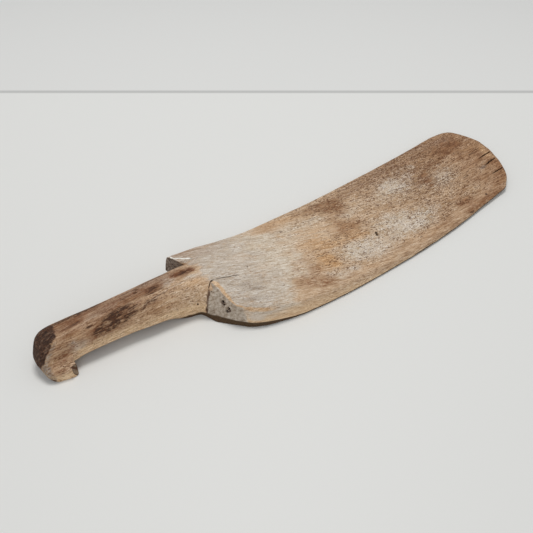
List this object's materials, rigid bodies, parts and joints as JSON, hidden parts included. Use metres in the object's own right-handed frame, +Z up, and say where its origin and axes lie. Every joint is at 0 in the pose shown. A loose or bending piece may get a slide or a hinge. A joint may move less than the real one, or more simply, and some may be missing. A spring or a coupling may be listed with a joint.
{
  "type": "scutching knife",
  "caption": "Old wooden scutching knife: a broad, slightly swept flat blade with stepped shoulders and a straight grip that ends in a low hook.",
  "frame": {"origin": "on the table plane, under the middle of the knife's bounding box", "axes": "+Z up from the table, +X from the butt of the handle to the tip of the blade, +Y towards the far, hollow edge of the blade"},
  "size_m": [0.537, 0.1443, 0.0318],
  "materials": {
    "old_wood": "matte"
  },
  "bodies": {
    "root": {"scutching_knife": "old_wood"}
  },
  "joints": []
}
